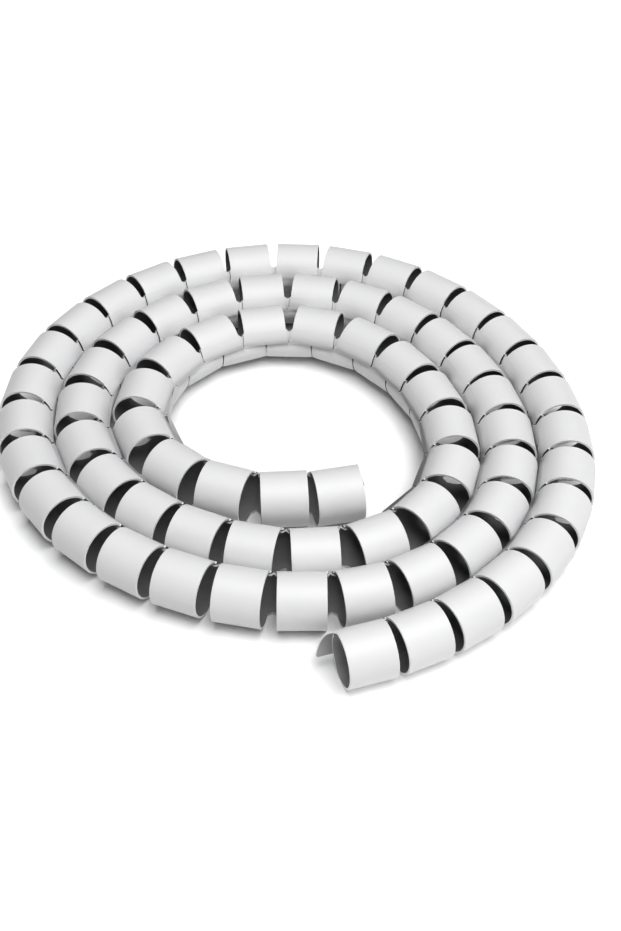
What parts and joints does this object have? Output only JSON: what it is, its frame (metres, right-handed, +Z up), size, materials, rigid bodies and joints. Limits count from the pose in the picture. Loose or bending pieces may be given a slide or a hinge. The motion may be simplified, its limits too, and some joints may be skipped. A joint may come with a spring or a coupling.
{
  "type": "spiral cable wrap",
  "caption": "Flexible white plastic cable wrap: a slotted tube of stiff rings joined along one side, laid on the floor in a flat spiral coil with both ends free",
  "frame": {"origin": "on the floor, under the middle of the coil's bounding box", "axes": "+Z up, square to the flat coil; -Y towards the side where both free ends lie; +X to the right seen from that side"},
  "size_m": [0.242, 0.2582, 0.0215],
  "materials": {
    "white_plastic": "satin"
  },
  "bodies": {
    "root": {"cable_wrap": "white_plastic"}
  },
  "joints": []
}
